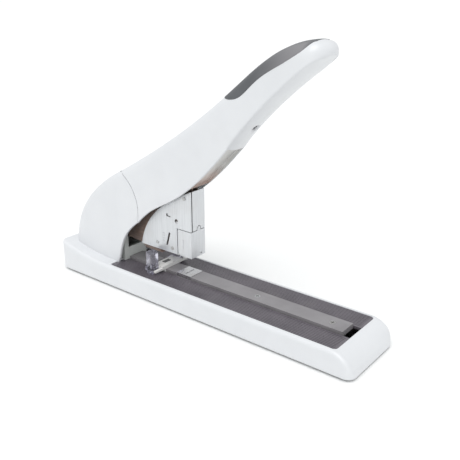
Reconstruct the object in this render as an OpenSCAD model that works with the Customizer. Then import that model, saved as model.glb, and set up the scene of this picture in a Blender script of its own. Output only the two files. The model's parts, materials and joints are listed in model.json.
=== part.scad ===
// Heavy-duty lever stapler: long base with a paper table, a narrow steel head and a long raised handle.
// X runs along the base towards its nose, Y across it, Z up. The origin is on the table under the middle of
// the base.
// Everything that swings is drawn in the pivot's own frame: [forward of the pin, above the pin].

/* [Base] */
// Length of the base
base_l = 390; // [380:1:480]
// Width of the base
base_w = 83; // [76:1:110]
// Height of the base's rim above the table
rim_z = 26; // [24:0.5:28]
// Height of the rubber feet under the base
foot_h = 2.5; // [2:0.1:4]
// Wall of the base shell
base_wall = 3; // [2:0.1:4]
// Radius of the upswept tail
tail_r = 270; // [220:5:400]
// Radius of the base's corners seen from above
corner_r = 8; // [4:0.5:14]

/* [Paper table] */
// Top of the dark deck strips
deck_z = 25.2; // [24.5:0.1:25.5]
// Thickness of the deck strips
deck_t = 2.7; // [2:0.1:3]
// Width of the rim beside the deck
rim_w = 4.6; // [4:0.1:8]
// Width of the centre rail
rail_w = 20; // [18:0.5:24]
// Height of the rail's top above the table
rail_z = 28; // [27:0.1:30]
// Width of the dark slot on each side of the rail
slot_w = 1.2; // [1:0.1:2]

/* [Pivot] */
// Pivot pin, forward of the rear end of the base
pivot_back = 66.6; // [62:0.2:80]
// Pivot pin, above the table
pivot_z = 92; // [90:0.5:110]
// Radius of the pivot pin
pin_r = 5; // [4:0.1:6]
// Radial clearance of a running pin
run_fit = 0.05; // [0.02:0.01:0.1]
// Radius of the seam between the rear cover and the handle
seam_r = 50; // [46:0.5:52]

/* [Covers and handle] */
// Half width of the rear cover
cover_hw = 26; // [24:0.5:30]
// Half width of the handle near its tip
tip_hw = 21.3; // [18:0.1:24]
// Wall of the plastic shells
shell_wall = 3; // [2.5:0.1:3.5]
// Thickness of the soft grip
grip_t = 1.6; // [1:0.1:2]
// Reach of the handle from the pivot to its tip
reach = 265.7; // [262:0.1:300]

/* [Head] */
// Width of the head over its side plates
head_w = 22; // [22:0.2:26]
// Sheet thickness of the head casing
sheet = 1.5; // [1.2:0.1:1.8]
// Front face of the head, forward of the pivot
head_x = 115.4; // [115:0.2:125]
// Underside of the head, below the pivot
head_drop = 41.5; // [41:0.5:43]
// Top front corner of the head, above the pivot
head_top = 32.7; // [32:0.1:36]
// Height of the jam gate
gate_h = 29.3; // [27:0.1:30]

/* [Staples] */
// Width over the legs of a staple
staple_w = 12.8; // [11:0.1:12.8]
// Height of a staple
staple_h = 15.6; // [10:0.2:16]
// Length of the strip left in the magazine
strip_l = 32; // [10:1:34]
// Thickness of the driver blade
blade_t = 1.2; // [0.8:0.1:1.4]

/* [Hidden] */

$fn = 64;
steps = 14;             // segments in a curved stretch of an outline
eps = 1;                // how far a cutting shape runs past what it cuts
gap = 0.15;             // clearance between pieces that are fixed together
plate_t = 2;            // steel plate under the base
shell_t = 2.5;          // floor of the base shell under the deck
pivot_x = -base_l / 2 + pivot_back;
tail_x = pivot_x + 13.4;
nose_r = rim_z - foot_h;
nose_x = base_l / 2 - nose_r;
floor_z = deck_z - deck_t;
cavity_z = floor_z - shell_t;
plate_z = foot_h + plate_t;
boss_r = 4.5;           // screw bosses inside the base
deck_x0 = pivot_x + 14.9;
deck_x1 = nose_x + 4.5;
deck_hw = base_w / 2 - rim_w;

// side plates from the middle outwards: lever, arm, casing, frame
side_gap = 0.3;
casing_y1 = head_w / 2;
casing_y0 = casing_y1 - sheet;
arm_y1 = casing_y0 - side_gap;
arm_y0 = arm_y1 - 1.8;
lever_y1 = arm_y0 - 0.4;
lever_y0 = lever_y1 - 1.8;
ear_y1 = lever_y0 - 0.4;
ear_y0 = ear_y1 - 1.9;
frame_t = 2.5;
frame_y0 = arm_y1 + 4.9;
frame_y1 = frame_y0 + frame_t;
frame_x1 = 18.4;        // front wall of the bracket, forward of the pivot

// outlines in the pivot's frame
handle_k = reach / 265.7;
seam_a = 58.5;          // the seam runs from here down to 15 degrees below the pivot's level
top_end = [reach - 13.8, 187.96 * handle_k];
under_end = [reach - 4.4, 170.55 * handle_k];
top_line = bez((seam_r + 0.4) * [cos(seam_a), sin(seam_a)], [187.5 * handle_k, 136.65 * handle_k],
    [196.5 * handle_k, 182.5 * handle_k], top_end);
tip_line = bez(top_end, top_end + [6, 0.59], under_end + [12, 9.25], under_end);
under_line = bez2(under_end, [205.5 * handle_k, 127.75 * handle_k], [166.5, 84.6]);
arch_line = bez([166.5, 84.6], [94.2, 1.9], [80.4, 23.3], (seam_r + 0.4) * [cos(-15), sin(-15)]);
side_line = bez([20, cover_hw], [110, cover_hw - 9.5], [170, tip_hw - 8.3], [reach - 18.8, tip_hw]);
nose_line = bez([reach - 18.8, tip_hw], [reach - 6, tip_hw + 1.2], [reach, tip_hw * 0.55], [reach, 0]);
back_line = bez([-56.6, -62], [-57.6, -12], [-16.6, 21], seam_r * [cos(seam_a), sin(seam_a)]);
grip_line = bez([165.5, 137.3], [188.5, 120.8], [178.5, 151.6], [reach - 12, 188.1 * handle_k]);
head_line = bez([41.4, -head_drop], [48, -6], [80, 17], [head_x, head_top - 1]);

// roller on the lever, and where the driver meets it
roller_pos = [101, 36];
roller_r = 6;
roller_pin_r = 2.5;
pad_z = roller_pos[1] - roller_r;
wall_x = head_x - sheet;
blade_x1 = wall_x - 0.55;
blade_x0 = blade_x1 - blade_t;

// magazine
mag_z = -head_drop;
mag_x0 = 40;
mag_x1 = blade_x0 - 0.25;
mag_floor = 1;
staple_y = staple_w / 2;
staple_wire = 0.9;
staple_z0 = mag_z + mag_floor + 0.3;
staple_z1 = staple_z0 + staple_h;
mag_wall_y0 = staple_y + 0.15;
mag_wall_y1 = arm_y0 - 0.15;
rod_z = staple_z1 + 3.6;
rod_r = 1.5;
pusher_x1 = mag_x1 - strip_l - 0.2;
pusher_l = 8;
mag_top = rod_z + 4.4;

// jam gate hinge
gate_z1 = mag_z + gate_h;
hinge_r = 1.4;
hinge_x = head_x - 18.4;
hinge_y = -casing_y1 + hinge_r;
gate_pin_r = 0.75;
gate_gap = 0.7;

// paper stop
stop_x1 = pivot_x + 76.4;
stop_len = 14;
fence_t = 8;
fence_y0 = rail_w / 2 + 5.5;
fence_y1 = rail_w / 2 + 16;
fence_z = 50;
stop_z = rail_z + 4;

// a cubic and a quadratic curve as a list of points
function bez(a, b, c, d) = [for (i = [0 : steps]) let (t = i / steps, u = 1 - t)
    u * u * u * a + 3 * u * u * t * b + 3 * u * t * t * c + t * t * t * d];
function bez2(a, b, c) = [for (i = [0 : steps])
    let (t = i / steps, u = 1 - t) u * u * a + 2 * u * t * b + t * t * c];
// a line of points moved sideways to its left
function moved(q, d) = [for (i = [0 : len(q) - 1])
    let (v = q[min(i + 1, len(q) - 1)] - q[max(i - 1, 0)]) q[i] + d * [-v[1], v[0]] / norm(v)];
// points along an arc, and a list turned end for end
function arc(c, r, a0, a1) = [for (i = [0 : steps])
    let (a = a0 + (a1 - a0) * i / steps) c + r * [cos(a), sin(a)]];
function turned(q) = [for (i = [len(q) - 1 : -1 : 0]) q[i]];
function after(q) = [for (i = [1 : len(q) - 1]) q[i]];
function before(q) = [for (i = [0 : len(q) - 2]) q[i]];
function flipped(q) = [for (p = q) [p[0], -p[1]]];

module at_pivot() translate([pivot_x, 0, pivot_z]) children();
module both_sides() { children(); mirror([0, 1, 0]) children(); }
// an outline in the XZ plane, as a plate from y0 to y1
module plate(y0, y1) translate([0, y1, 0]) rotate([90, 0, 0]) linear_extrude(y1 - y0) children();
module rod_y(x, z, r, y0, y1) translate([x, y0, z]) rotate([-90, 0, 0]) cylinder(r = r, h = y1 - y0);
module rod_x(z, r, x0, x1) translate([x0, 0, z]) rotate([0, 90, 0]) cylinder(r = r, h = x1 - x0);
module box(x0, x1, y0, y1, z0, z1) translate([x0, y0, z0]) cube([x1 - x0, y1 - y0, z1 - z0]);

// a rounded rectangle seen from above
module pad(x0, x1, hw, r, z0, z1) {
    box(x0 + r, x1 - r, -hw, hw, z0, z1);
    box(x0, x1, -hw + r, hw - r, z0, z1);
    for (x = [x0 + r, x1 - r], y = [-hw + r, hw - r]) translate([x, y, z0]) cylinder(r = r, h = z1 - z0);
}

// places that several pieces share
module at_feet() for (x = [-base_l / 2 + 19, base_l / 2 - 33], y = [-1, 1])
    translate([x, y * (base_w / 2 - 14), 0]) children();
module at_base_screws() for (x = [-base_l / 2 + 48, 0, base_l / 2 - 58], y = [-1, 1])
    translate([x, y * (base_w / 2 - 9.5), 0]) children();
module at_rail_screws() for (x = [-base_l / 6, base_l / 6, nose_x - 20]) translate([x, 0, 0]) children();
module at_frame_bolts() for (x = [-28, 6], y = [-1, 1])
    translate([pivot_x + x, y * (frame_y1 + 5.5), 0]) children();

// ---------------------------------------------------------------- base
module base_shell() color([0.95, 0.96, 0.97]) difference() {
    intersection() {
        union() {
            box(-base_l / 2, nose_x, -base_w / 2, base_w / 2, foot_h, rim_z);
            box(-base_l / 2, tail_x, -base_w / 2, base_w / 2, foot_h, rim_z + 12);
            rod_y(nose_x, foot_h, nose_r, -base_w / 2, base_w / 2);
        }
        pad(-base_l / 2, base_l / 2, base_w / 2, corner_r, foot_h, rim_z + 12);
    }
    rod_y(tail_x, rim_z + tail_r, tail_r, -base_w, base_w);
    pad(deck_x0, deck_x1, deck_hw, 4, floor_z, rim_z + eps);
    difference() {
        pad(-base_l / 2 + base_wall, base_l / 2 - 14, base_w / 2 - base_wall, corner_r - base_wall,
            foot_h - eps, cavity_z);
        at_base_screws() translate([0, 0, plate_z]) cylinder(r = boss_r, h = rim_z);
        for (x = [-base_l / 6 - 18, base_l / 6 + 18]) translate([x, 0, 0])
            box(-1, 1, -base_w / 2, base_w / 2, plate_z, rim_z);
    }
    box(pivot_x - 46, pivot_x + frame_x1 + 0.6, -frame_y1 - 0.6, frame_y1 + 0.6, 0, rim_z + 20);
    at_base_screws() translate([0, 0, foot_h]) cylinder(r = 1.8 + run_fit, h = 12);
    at_rail_screws() translate([0, 0, cavity_z - eps]) cylinder(r = 1.6 + run_fit, h = 9);
}

module base_plate() color([0.62, 0.64, 0.66]) difference() {
    pad(-base_l / 2 + base_wall + gap, base_l / 2 - 14 - gap, base_w / 2 - base_wall - gap,
        corner_r - base_wall, foot_h, plate_z);
    at_base_screws() translate([0, 0, foot_h - eps]) cylinder(r = 2, h = plate_t + 2 * eps);
    at_feet() translate([0, 0, foot_h - eps]) cylinder(r = 3, h = plate_t + 2 * eps);
    at_frame_bolts() translate([0, 0, foot_h - eps]) cylinder(r = 2.5 + run_fit, h = plate_t + 2 * eps);
}

module rubber_feet() color([0.16, 0.16, 0.17]) at_feet() {
    cylinder(r = 9, h = foot_h);
    cylinder(r = 3 - run_fit, h = plate_z + 2);
}

module base_screws() color([0.75, 0.76, 0.78]) at_base_screws() {
    difference() {
        translate([0, 0, foot_h - 1.8]) cylinder(r = 3.8, h = 1.8);
        translate([-3, -0.5, foot_h - 2]) cube([6, 1, 1]);
        translate([-0.5, -3, foot_h - 2]) cube([1, 6, 1]);
    }
    translate([0, 0, foot_h]) cylinder(r = 1.8, h = 11);
}

// one deck strip between the rail slot and the rim, with fine ribs along it
module deck_strip() color([0.33, 0.33, 0.36]) difference() {
    intersection() {
        pad(deck_x0 + gap, deck_x1 - gap, deck_hw - gap, 4 - gap, floor_z, deck_z);
        box(-base_l, base_l, rail_w / 2 + slot_w, base_w, 0, rim_z);
    }
    box(pivot_x - 46, pivot_x + frame_x1 + 0.6, -frame_y1 - 0.6, frame_y1 + 0.6, 0, rim_z);
    for (y = [rail_w / 2 + slot_w + 2.4 : 2.4 : deck_hw - 1.5])
        box(deck_x0 + 5, deck_x1 - 3, y, y + 0.8, deck_z - 0.4, rim_z);
}
module deck_near() mirror([0, 1, 0]) deck_strip();
module deck_far() deck_strip();

anvil_x = pivot_x + 102.4;
anvil_l = 20;
module rail() color([0.52, 0.52, 0.54]) difference() {
    box(pivot_x + frame_x1 + 1, nose_x - 4, -rail_w / 2, rail_w / 2, floor_z, rail_z);
    box(anvil_x - anvil_l / 2, anvil_x + anvil_l / 2, -rail_w, rail_w, rail_z - 2.5, rail_z + eps);
    at_rail_screws() translate([0, 0, floor_z - eps]) cylinder(r = 1.7, h = 9);
    at_rail_screws() translate([0, 0, rail_z - 1.6]) cylinder(r1 = 1.7, r2 = 3.4, h = 1.7);
}

module rail_screws() color([0.7, 0.7, 0.72]) at_rail_screws() difference() {
    union() {
        translate([0, 0, cavity_z + 1]) cylinder(r = 1.6, h = rail_z - 1.6 - cavity_z - 1);
        translate([0, 0, rail_z - 1.6]) cylinder(r1 = 1.6, r2 = 3.1, h = 1.5);
    }
    translate([-2.2, -0.4, rail_z - 0.9]) cube([4.4, 0.8, 2]);
    translate([-0.4, -2.2, rail_z - 0.9]) cube([0.8, 4.4, 2]);
}

// hardened plate with two bent grooves that turn the staple's legs inwards
module anvil() color([0.8, 0.8, 0.82]) difference() {
    box(anvil_x - anvil_l / 2, anvil_x + anvil_l / 2, -rail_w / 2, rail_w / 2, rail_z - 2.5, rail_z + 0.6);
    both_sides() translate([anvil_x - 0.9, 3.6, rail_z + 4]) rotate([0, 90, 0]) cylinder(r = 4.6, h = 1.8);
}

// ---------------------------------------------------------------- frame
frame_outline = [[-40, plate_z - pivot_z], [-40, -32], [-14, 12], [12, 12], [frame_x1, -6],
    [frame_x1, plate_z - pivot_z]];
frame_slot = -53;       // sill of the slot that the arm passes through
tie_z = -48;            // rivet between the side plates

module frame_bracket() color([0.56, 0.58, 0.57]) difference() {
    union() {
        at_pivot() both_sides() plate(frame_y0, frame_y1) polygon(frame_outline);
        box(pivot_x + frame_x1 - frame_t, pivot_x + frame_x1, -frame_y1, frame_y1, plate_z, pivot_z - 6);
        both_sides() box(pivot_x - 36, pivot_x + 14, frame_y0, frame_y1 + 9.8, plate_z, plate_z + frame_t);
    }
    at_pivot() box(frame_x1 - 2 * frame_t, frame_x1 + eps, -arm_y1 - 1.2, arm_y1 + 1.2, frame_slot, 20);
    at_pivot() rod_y(0, 0, pin_r + run_fit, -40, 40);
    at_pivot() rod_y(-30, tie_z, 3 + run_fit, -40, 40);
    at_frame_bolts() cylinder(r = 2.5 + run_fit, h = plate_z + 10);
    at_base_screws() translate([0, 0, plate_z - eps]) cylinder(r = boss_r + 0.4, h = 10);
}

module frame_bolts() color([0.7, 0.71, 0.73]) at_frame_bolts() {
    translate([0, 0, foot_h]) cylinder(r = 2.5, h = plate_t + frame_t);
    translate([0, 0, plate_z + frame_t]) cylinder(r = 4.6, h = 3.5, $fn = 6);
}

module frame_tie() color([0.7, 0.71, 0.73]) at_pivot() {
    rod_y(-30, tie_z, 3, -frame_y1 - 1.5, frame_y1 + 1.5);
    both_sides() rod_y(-30, tie_z, 5, frame_y1, frame_y1 + 1.5);
}

clip_y = frame_y1 + 0.6;
module pivot_pin() color([0.78, 0.79, 0.8]) at_pivot() difference() {
    rod_y(0, 0, pin_r, -clip_y - 2, clip_y + 2);
    both_sides() difference() {
        rod_y(0, 0, pin_r + eps, clip_y - 0.05, clip_y + 1.05);
        rod_y(0, 0, pin_r - 1, 0, 40);
    }
}

module pivot_clips() color([0.35, 0.35, 0.37]) at_pivot() both_sides() difference() {
    rod_y(0, 0, pin_r + 3, clip_y, clip_y + 1);
    rod_y(0, 0, pin_r - 1 + run_fit, 0, 40);
    box(-pin_r + 1.6, pin_r - 1.6, 0, 40, -20, 0);
}

module pivot_spacers() color([0.82, 0.7, 0.42]) at_pivot() both_sides() difference() {
    rod_y(0, 0, pin_r + 2.6, arm_y1 + 0.15, frame_y0 - 0.15);
    rod_y(0, 0, pin_r + run_fit, 0, 40);
}

// a coil of round wire standing on z = 0: each slice through a helix is a curved lens
module coil(r, wire, pitch, turns) {
    reach_a = 360 * wire / pitch;
    lens = [for (i = [-3 : 3]) let (a = sin(30 * i), w = wire * cos(30 * i)) [reach_a * a, w]];
    edge = concat([for (p = lens) (r + p[1]) * [cos(p[0]), sin(p[0])]],
        [for (i = [len(lens) - 2 : -1 : 1]) (r - lens[i][1]) * [cos(lens[i][0]), sin(lens[i][0])]]);
    linear_extrude(pitch * turns, twist = -360 * turns, slices = ceil(16 * turns), $fn = 12) polygon(edge);
}

// torsion spring round the pivot pin: one leg stands on the bracket's sill, the other lifts the lever
spring_wire = 1.1;
spring_r = pin_r + 2.6;
module handle_spring() color([0.3, 0.3, 0.32]) at_pivot() {
    translate([0, 3.4, 0]) rotate([90, 0, 0]) coil(spring_r, spring_wire, 2.45, 2.8);
    translate([0, -3.4, spring_r]) rotate([0, 68, 0]) cylinder(r = spring_wire, h = 34);
    translate([0, 3.4, -spring_r]) rotate([0, 157, 0]) cylinder(r = spring_wire, h = 44);
}

// ---------------------------------------------------------------- rear cover
// outline of the cover seen from the side, between its foot, the seam and its back
cover_front = bez(seam_r * [cos(-15), sin(-15)], [20, -33.8], [24.3, -53.3], [16.9, -67.8]);
cover_outline = concat(back_line, after(arc([0, 0], seam_r, seam_a, -15)), after(cover_front),
    [[16.9, rim_z - pivot_z - 4], [-56.6, rim_z - pivot_z - 4]]);
plan_line = concat([[-57.4, 0]], arc([-51.4, cover_hw - 6], 6, 180, 90), side_line, after(nose_line));

// everything inside the handle's and cover's plan, drawn in by t
function plan_inset(t) = [for (p = moved(plan_line, -t)) [p[0], max(0, p[1])]];
module plan_block(t) translate([0, 0, -120])
    linear_extrude(400) polygon(concat(after(plan_inset(t)), after(turned(flipped(plan_inset(t))))));

module cover_in() {
    intersection() {
        plate(-cover_hw, cover_hw) polygon(concat(moved(back_line, -shell_wall),
            [[60, 44], [60, -100], [-56.6 + shell_wall, -100]]));
        plan_block(shell_wall);
    }
}

module rear_cover() color([0.94, 0.95, 0.96]) difference() {
    union() {
        difference() {
            at_pivot() intersection() {
                plate(-cover_hw, cover_hw) polygon(cover_outline);
                plan_block(0);
            }
            at_pivot() cover_in();
        }
        // closing wall concentric with the pivot, behind the handle's rear edge
        at_pivot() intersection() {
            difference() {
                rod_y(0, 0, seam_r - 0.2, -cover_hw + shell_wall, cover_hw - shell_wall);
                rod_y(0, 0, seam_r - 2.6, -40, 40);
            }
            plate(-cover_hw, cover_hw) polygon([[0, 0], 90 * [cos(22), sin(22)], 90 * [cos(56), sin(56)]]);
            union() {
                both_sides() box(0, 60, arm_y1 + 1, 40, 0, 60);
                plate(-40, 40) polygon([[0, 0], 90 * [cos(47), sin(47)], 90 * [cos(56), sin(56)]]);
            }
            plan_block(shell_wall - 0.2);
        }
    }
    // the foot of the cover follows the top of the base
    difference() {
        box(-base_l, base_l, -base_w, base_w, 0, rim_z + 40);
        rod_y(tail_x, rim_z + tail_r, tail_r - run_fit, -base_w - eps, base_w + eps);
    }
}

// ---------------------------------------------------------------- paper stop
module stop_carriage() color([0.93, 0.93, 0.92]) {
    difference() {
        box(stop_x1 - stop_len, stop_x1, -fence_y0 + gap, fence_y0 - gap, rail_z + 0.1, stop_z);
        box(stop_x1 - 11, stop_x1 - 6, -5, 5, stop_z - 1, stop_z + eps);
    }
    box(stop_x1 - 3, stop_x1, -fence_y1, fence_y1, rail_z + 0.1, rail_z + 2.3);
    both_sides() box(stop_x1 - stop_len, stop_x1, rail_w / 2 + 0.2, rail_w / 2 + slot_w - 0.2, deck_z - 1.4,
        rail_z + 0.1);
}

module stop_fence() color([0.75, 0.8, 0.86, 0.4]) {
    both_sides() difference() {
        box(stop_x1 - stop_len, stop_x1 - stop_len + fence_t, fence_y0, fence_y1, deck_z + 0.3, fence_z);
        translate([stop_x1 - stop_len - 2, fence_y0 - eps, fence_z + 1]) rotate([0, 20, 0]) cube([16, 20, 8]);
    }
    box(stop_x1 - stop_len - 2, stop_x1 - stop_len, -fence_y1, fence_y1, rail_z + 0.2, stop_z);
}

module stop_index() color([0.2, 0.2, 0.22])
    box(stop_x1 - 11 + gap, stop_x1 - 6 - gap, -5 + gap, 5 - gap, stop_z - 1, stop_z + 0.2);

// ---------------------------------------------------------------- handle
handle_outline = concat(top_line, after(tip_line), after(under_line), after(arch_line),
    before(after(arc([0, 0], seam_r + 0.4, -15, seam_a))));
lever_pts = [[-7, 10], [34, 31], [60, 54], [97, 80], [128, 101], [214, 162], [220, 149], [128, 84],
    [101.6, 68.5], [97.2, 66], [106.2, 38], [95.6, 34], [91, 48], [60, 24], [10, -7]];

module handle_solid() intersection() {
    plate(-cover_hw, cover_hw) polygon(handle_outline);
    plan_block(0);
}

// what lies inside a skin of thickness t over the handle's top and sides
module handle_core(t, x1) intersection() {
    plate(-cover_hw, cover_hw) polygon(concat(moved(top_line, -t), [[reach - 6, 176], [x1, 150], [x1, 60],
        [60, -60], [0, -60], [0, 30]]));
    plan_block(t);
}

module grip_zone() plate(-cover_hw, cover_hw)
    polygon(concat(grip_line, [[reach, 230], [150, 230], [150, 160]]));

// cross ribs of the handle that rest on the lever: [forward, underside]
handle_ribs = [[75, 66.5], [200, 154]];
module handle_shell() color([0.95, 0.96, 0.97]) at_pivot() difference() {
    handle_solid();
    difference() {
        grip_zone();
        handle_core(grip_t, reach);
    }
    difference() {
        intersection() {
            handle_core(shell_wall, reach - 22);
            box(0, reach - 22, -cover_hw, cover_hw, -100, 200);
        }
        for (r = handle_ribs) box(r[0], r[0] + 2.4, -cover_hw, cover_hw, r[1], 220);
    }
}

module handle_grip() color([0.32, 0.33, 0.35]) at_pivot() difference() {
    intersection() {
        handle_solid();
        grip_zone();
    }
    handle_core(grip_t, reach);
}

module handle_underplate() color([0.86, 0.87, 0.88]) at_pivot() difference() {
    intersection() {
        plate(-cover_hw, cover_hw) polygon(concat(under_line, turned(moved(under_line, -2.4))));
        plan_block(shell_wall + gap);
        box(166.5, reach - 22 - gap, -cover_hw, cover_hw, 0, 250);
    }
    translate(screw_pos) rotate([0, screw_a, 0]) cylinder(r = 4, h = 2, center = true);
    translate(screw_pos) rotate([0, screw_a, 0]) cylinder(r = 2.2, h = 30, center = true);
}

module handle_web() color([0.6, 0.6, 0.58]) at_pivot() intersection() {
    plate(-cover_hw, cover_hw) polygon(concat(moved(arch_line, -1.5), turned(moved(arch_line, -3.5))));
    plan_block(shell_wall + gap);
    box(head_x + 2, 166, -cover_hw, cover_hw, 0, 250);
}

screw_pos = [186, 0, 106.6];
screw_a = -46;
module handle_screw() color([0.25, 0.25, 0.26]) at_pivot() translate(screw_pos) rotate([0, screw_a, 0]) {
    difference() {
        translate([0, 0, -0.8]) cylinder(r = 3.8, h = 1.6);
        translate([-2.6, -0.5, -1]) cube([5.2, 1, 1]);
    }
    cylinder(r = 2, h = 34);
}

module main_lever() color([0.5, 0.5, 0.52]) at_pivot() difference() {
    union() {
        both_sides() {
            plate(lever_y0, lever_y1) polygon(lever_pts);
            rod_y(0, 0, 12, lever_y0, lever_y1);
            rod_y(roller_pos[0], roller_pos[1], 5.5, lever_y0, lever_y1);
        }
        plate(-lever_y1, lever_y1) polygon([[60, 54], [97, 80], [128, 101], [214, 162], [214.9, 160],
            [129, 99], [98, 78], [61, 51.6]]);
    }
    rod_y(0, 0, pin_r + run_fit, -40, 40);
    rod_y(roller_pos[0], roller_pos[1], roller_pin_r + 0.02, -40, 40);
    translate(screw_pos) rotate([0, screw_a, 0]) cylinder(r = 2 + run_fit, h = 60);
}

module roller_pin() color([0.78, 0.79, 0.8]) at_pivot()
    rod_y(roller_pos[0], roller_pos[1], roller_pin_r, -lever_y1 - 0.2, lever_y1 + 0.2);

module drive_roller() color([0.7, 0.7, 0.72]) at_pivot() difference() {
    rod_y(roller_pos[0], roller_pos[1], roller_r - 0.05, -ear_y0 + 0.2, ear_y0 - 0.2);
    rod_y(roller_pos[0], roller_pos[1], roller_pin_r + run_fit, -40, 40);
}

// ---------------------------------------------------------------- head
arm_pts = [[0, 12], [46, 8], [70, 2.6], [86, 12], [100, 19.4], [head_x - 3, 26.6],
    [head_x - 3, gate_z1 + 2.6], [hinge_x - 2.6, gate_z1 + 2.6], [hinge_x - 2.6, mag_z + 0.4],
    [71, mag_z + 0.4], [71, mag_z - 4.5],
    [46, mag_z - 4.5], [40, mag_z + 0.4], [14, mag_z + 2], [-8, -9]];
slot_a = [84.4, -19.9];
slot_b = [80.4, -33.5];

// the slanted slot through which the staples left can be seen
module level_slot(y0, y1) plate(y0, y1) hull() {
    translate(slot_a) circle(1.2, $fn = 16);
    translate(slot_b) circle(1.2, $fn = 16);
}

module head_arm() color([0.45, 0.42, 0.4]) at_pivot() difference() {
    union() {
        both_sides() {
            plate(arm_y0, arm_y1) polygon(arm_pts);
            rod_y(0, 0, 12, arm_y0, arm_y1);
        }
        box(46, 71, -arm_y1, arm_y1, mag_z - 4.5, mag_z - 2.5);
    }
    rod_y(0, 0, pin_r + run_fit, -40, 40);
    at_head_rivets() rod_y(0, 0, 1.2, -40, 40);
    level_slot(-40, 40);
}

module at_head_rivets() for (p = [[107, 23.4], [66, -34], [88, -36]]) translate([p[0], 0, p[1]]) children();

module head_casing() color([0.86, 0.87, 0.89]) at_pivot() difference() {
    union() {
        both_sides() plate(casing_y0, casing_y1) polygon(concat(head_line, [[head_x, mag_z]]));
        box(wall_x, head_x, -casing_y1, casing_y1, mag_z, head_top - 1);
        box(hinge_x - 1.6, hinge_x + 2, -casing_y1, hinge_y + hinge_r, gate_z1 + gate_gap, gate_z1 + 2.4);
    }
    // room for the jam gate
    box(hinge_x - hinge_r - 0.2, head_x + eps, -20, -casing_y0 + 0.1, mag_z - eps, gate_z1 + gate_gap);
    box(wall_x - 0.1, head_x + eps, -20, 20, mag_z - eps, gate_z1 + gate_gap);
    gate_tab(gate_gap);
    // groove where the front sheet is folded in between the side plates
    box(head_x - sheet / 2, head_x + eps, -casing_y0, -casing_y0 + 1.3, gate_z1, head_top);
    translate([hinge_x, hinge_y, mag_z]) cylinder(r = gate_pin_r + 0.02, h = 60);
    // windows and holes in the side plates
    level_slot(-40, 40);
    box(80.7, 86.8, -20, 20, -1, 2.2);
    rod_y(95.1, -3.6, 2.3, -40, 40);
    at_head_rivets() rod_y(0, 0, 1.2, -40, 40);
}

module gate_tab(c) {
    box(wall_x - c, head_x + c, 1.5 - 2.3 - c, 1.5 + 2.3 + c, gate_z1 - 2, gate_z1 + 2.2);
    translate([wall_x - c, 1.5, gate_z1 + 2.2]) rotate([0, 90, 0]) cylinder(r = 2.3 + c, h = sheet + 2 * c);
}

module head_rivets() color([0.8, 0.8, 0.82]) at_pivot() at_head_rivets() both_sides() {
    rod_y(0, 0, 1.2, arm_y0, casing_y1);
    rod_y(0, 0, 1.9, casing_y1, casing_y1 + 0.6);
}

module jam_gate() color([0.84, 0.85, 0.87]) at_pivot() difference() {
    union() {
        box(hinge_x, head_x, -casing_y1, -casing_y0, mag_z, gate_z1);
        box(wall_x, head_x, -casing_y1, casing_y1, mag_z, gate_z1);
        translate([hinge_x, hinge_y, mag_z + mag_floor + 0.2])
            cylinder(r = hinge_r, h = gate_h - mag_floor - 0.2);
        translate([0, 0, -0.001]) gate_tab(0);
        translate([hinge_x + 7, -casing_y1, mag_z + 9]) cylinder(r = 0.8, h = 10);
    }
    box(hinge_x - 4, hinge_x + hinge_r + 0.4, -casing_y1 - eps, -casing_y1 + 2 * hinge_r, mag_z - eps,
        mag_z + mag_floor + 0.2);
    translate([hinge_x, hinge_y, mag_z]) cylinder(r = gate_pin_r + run_fit, h = 60);
    translate([wall_x - eps, 4.6, mag_z + 2.6]) rotate([0, 90, 0]) cylinder(r = 1, h = 4);
}

module gate_pin() color([0.7, 0.7, 0.72]) at_pivot()
    translate([hinge_x, hinge_y, mag_z]) cylinder(r = gate_pin_r, h = gate_h + 2.4);

module magazine_channel() color([0.66, 0.67, 0.69]) at_pivot() difference() {
    union() {
        box(mag_x0, mag_x1, -mag_wall_y1, mag_wall_y1, mag_z, mag_z + mag_floor);
        both_sides() box(mag_x0, mag_x1, mag_wall_y0, mag_wall_y1, mag_z, mag_top);
        box(mag_x0, mag_x0 + 5, -mag_wall_y1, mag_wall_y1, mag_z, mag_top);
        box(mag_x1 - 3, mag_x1 - 1, -mag_wall_y1, mag_wall_y1, staple_z1 + 0.6, mag_top);
        box(hinge_x - 1.3, hinge_x + 1.1, -casing_y1, -mag_wall_y0, mag_z, mag_z + mag_floor);
    }
    rod_x(rod_z, rod_r + run_fit, 0, 200);
    translate([hinge_x, hinge_y, mag_z - eps]) cylinder(r = gate_pin_r + 0.02, h = 4);
}

module magazine_core() color([0.6, 0.61, 0.63]) at_pivot()
    box(mag_x0 + 5, mag_x1, -staple_y + staple_wire + 0.2, staple_y - staple_wire - 0.2, mag_z + mag_floor,
        staple_z1 - 1.4);

module staple_strip() color([0.78, 0.76, 0.7]) at_pivot() difference() {
    box(mag_x1 - strip_l, mag_x1, -staple_y, staple_y, staple_z0, staple_z1);
    box(0, 200, -staple_y + staple_wire, staple_y - staple_wire, mag_z - eps, staple_z1 - 1.2);
}

module staple_pusher() color([0.25, 0.26, 0.28]) at_pivot() difference() {
    box(pusher_x1 - pusher_l, pusher_x1, -staple_y, staple_y, staple_z0, rod_z + 3.4);
    box(0, 200, -staple_y + staple_wire, staple_y - staple_wire, mag_z - eps, staple_z1 - 1.2);
    rod_x(rod_z, rod_r + run_fit, 0, 200);
}

module pusher_rod() color([0.75, 0.76, 0.78]) at_pivot() rod_x(rod_z, rod_r, mag_x0, mag_x1 - 1);

module pusher_spring() color([0.4, 0.4, 0.42]) at_pivot()
    translate([mag_x0 + 5.1, 0, rod_z]) rotate([0, 90, 0])
        coil(rod_r + 1.1, 0.4, (pusher_x1 - pusher_l - mag_x0 - 5.2) / 7, 7);

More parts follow.
